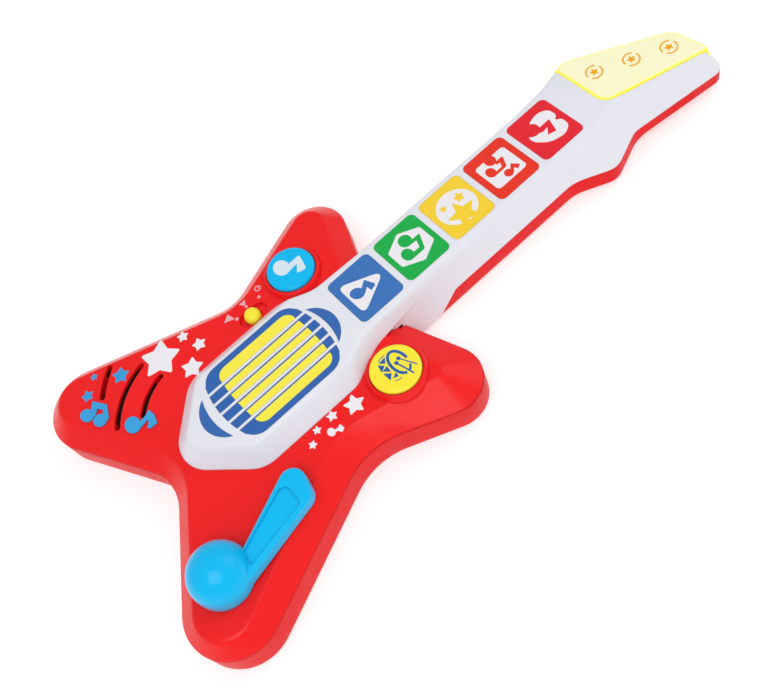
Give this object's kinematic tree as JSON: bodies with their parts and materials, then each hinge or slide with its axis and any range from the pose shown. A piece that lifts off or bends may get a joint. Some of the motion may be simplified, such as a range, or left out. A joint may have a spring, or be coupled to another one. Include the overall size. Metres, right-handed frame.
{
  "type": "toy electric guitar",
  "caption": "Child's electronic guitar with flush touch pads on the neck, round play buttons, a spring-return whammy bar, a slide switch, a light-up head and a curved-slot speaker.",
  "frame": {"origin": "on the flat back face, on the neck's centre line, at the body's waist", "axes": "+X across the body to the whammy bar's side, +Y along the neck to the head, +Z out of the playing face"},
  "size_m": [0.2103, 0.4507, 0.0542],
  "materials": {
    "red_shell": "moulded ABS, semi-gloss",
    "red_face": "moulded ABS, gloss",
    "white_shell": "moulded ABS, satin gloss",
    "lens": "translucent polystyrene",
    "pickup_blue": "printed inlay",
    "pickup_yellow": "printed inlay",
    "sky_blue": "moulded ABS, gloss",
    "button_yellow": "moulded ABS, gloss",
    "knob_yellow": "moulded ABS, gloss",
    "silicone": "silicone rubber",
    "black_plastic": "moulded, matt",
    "white_inner": "moulded, matt",
    "steel": "zinc plated",
    "spring_steel": "nickel plated",
    "ferrite": "sintered",
    "paper_cone": "coated paper",
    "mesh_cloth": "open weave",
    "circuit_board": "phenolic board with tracks",
    "cable_grey": "vinyl ribbon cable",
    "clear_light": "clear epoxy",
    "cell_sleeve": "printed sleeve over steel",
    "note_blue": "printed raised plastic",
    "pad_blue": "printed inlay",
    "pad_green": "printed inlay",
    "pad_yellow": "printed inlay",
    "pad_orange": "printed inlay",
    "pad_crimson": "printed inlay"
  },
  "bodies": {
    "guitar": {"battery_box": "black_plastic", "battery_cells": "cell_sleeve", "battery_contacts": "spring_steel", "board_parts": "black_plastic", "fret_pad_blue": "pad_blue", "fret_pad_crimson": "pad_crimson", "fret_pad_green": "pad_green", "fret_pad_orange": "pad_orange", "fret_pad_yellow": "pad_yellow", "front_shell": "red_face", "head_lens": "lens", "head_light_board": "circuit_board", "head_lights": "clear_light", "head_reflector": "white_inner", "main_board": "circuit_board", "neck_cable": "cable_grey", "neck_cover": "white_shell", "pickup_crescents": "pickup_blue", "pickup_frame": "pickup_blue", "pickup_panels": "pickup_yellow", "raised_notes": "note_blue", "rear_shell": "red_shell", "rubber_dome_blue": "silicone", "rubber_dome_yellow": "silicone", "shell_screws": "steel", "speaker_clamp": "red_shell", "speaker_cone": "paper_cone", "speaker_frame": "steel", "speaker_magnet": "ferrite", "speaker_mesh": "mesh_cloth", "switch_body": "steel", "touch_board": "circuit_board", "whammy_contact": "circuit_board", "whammy_spring": "spring_steel"},
    "blue_button": {"button_blue": "sky_blue"},
    "yellow_button": {"button_yellow": "button_yellow"},
    "volume_slider": {"volume_knob": "knob_yellow", "switch_lever": "black_plastic"},
    "whammy": {"whammy_bar": "sky_blue", "whammy_lever": "black_plastic", "whammy_screw": "steel"},
    "door": {"battery_door": "red_shell", "door_screw": "steel"}
  },
  "joints": [
    {"name": "blue_button_press", "type": "slide", "parent": "guitar", "child": "blue_button", "axis": [0, 0, -1], "range_m": [0, 0.002], "stiffness_N_per_m": 500, "springref_m": -0.0005, "deforming": ["rubber_dome_blue"]},
    {"name": "yellow_button_press", "type": "slide", "parent": "guitar", "child": "yellow_button", "axis": [0, 0, -1], "range_m": [0, 0.002], "stiffness_N_per_m": 500, "springref_m": -0.0005, "deforming": ["rubber_dome_yellow"]},
    {"name": "volume_slide", "type": "slide", "parent": "guitar", "child": "volume_slider", "axis": [0, 1, 0], "range_m": [-0.003, 0.003]},
    {"name": "whammy_turn", "type": "hinge", "parent": "guitar", "child": "whammy", "pos_m": [0.0688, -0.0922, 0.03], "axis": [0, 0, -1], "range_deg": [0, 24], "stiffness_Nm_per_rad": 0.05, "springref_deg": -5.73, "deforming": ["whammy_spring"]},
    {"name": "battery_door_swing", "type": "hinge", "parent": "guitar", "child": "door", "pos_m": [0, -0.0336, 0.0011], "axis": [-1, 0, 0], "range_deg": [0, 35]}
  ]
}
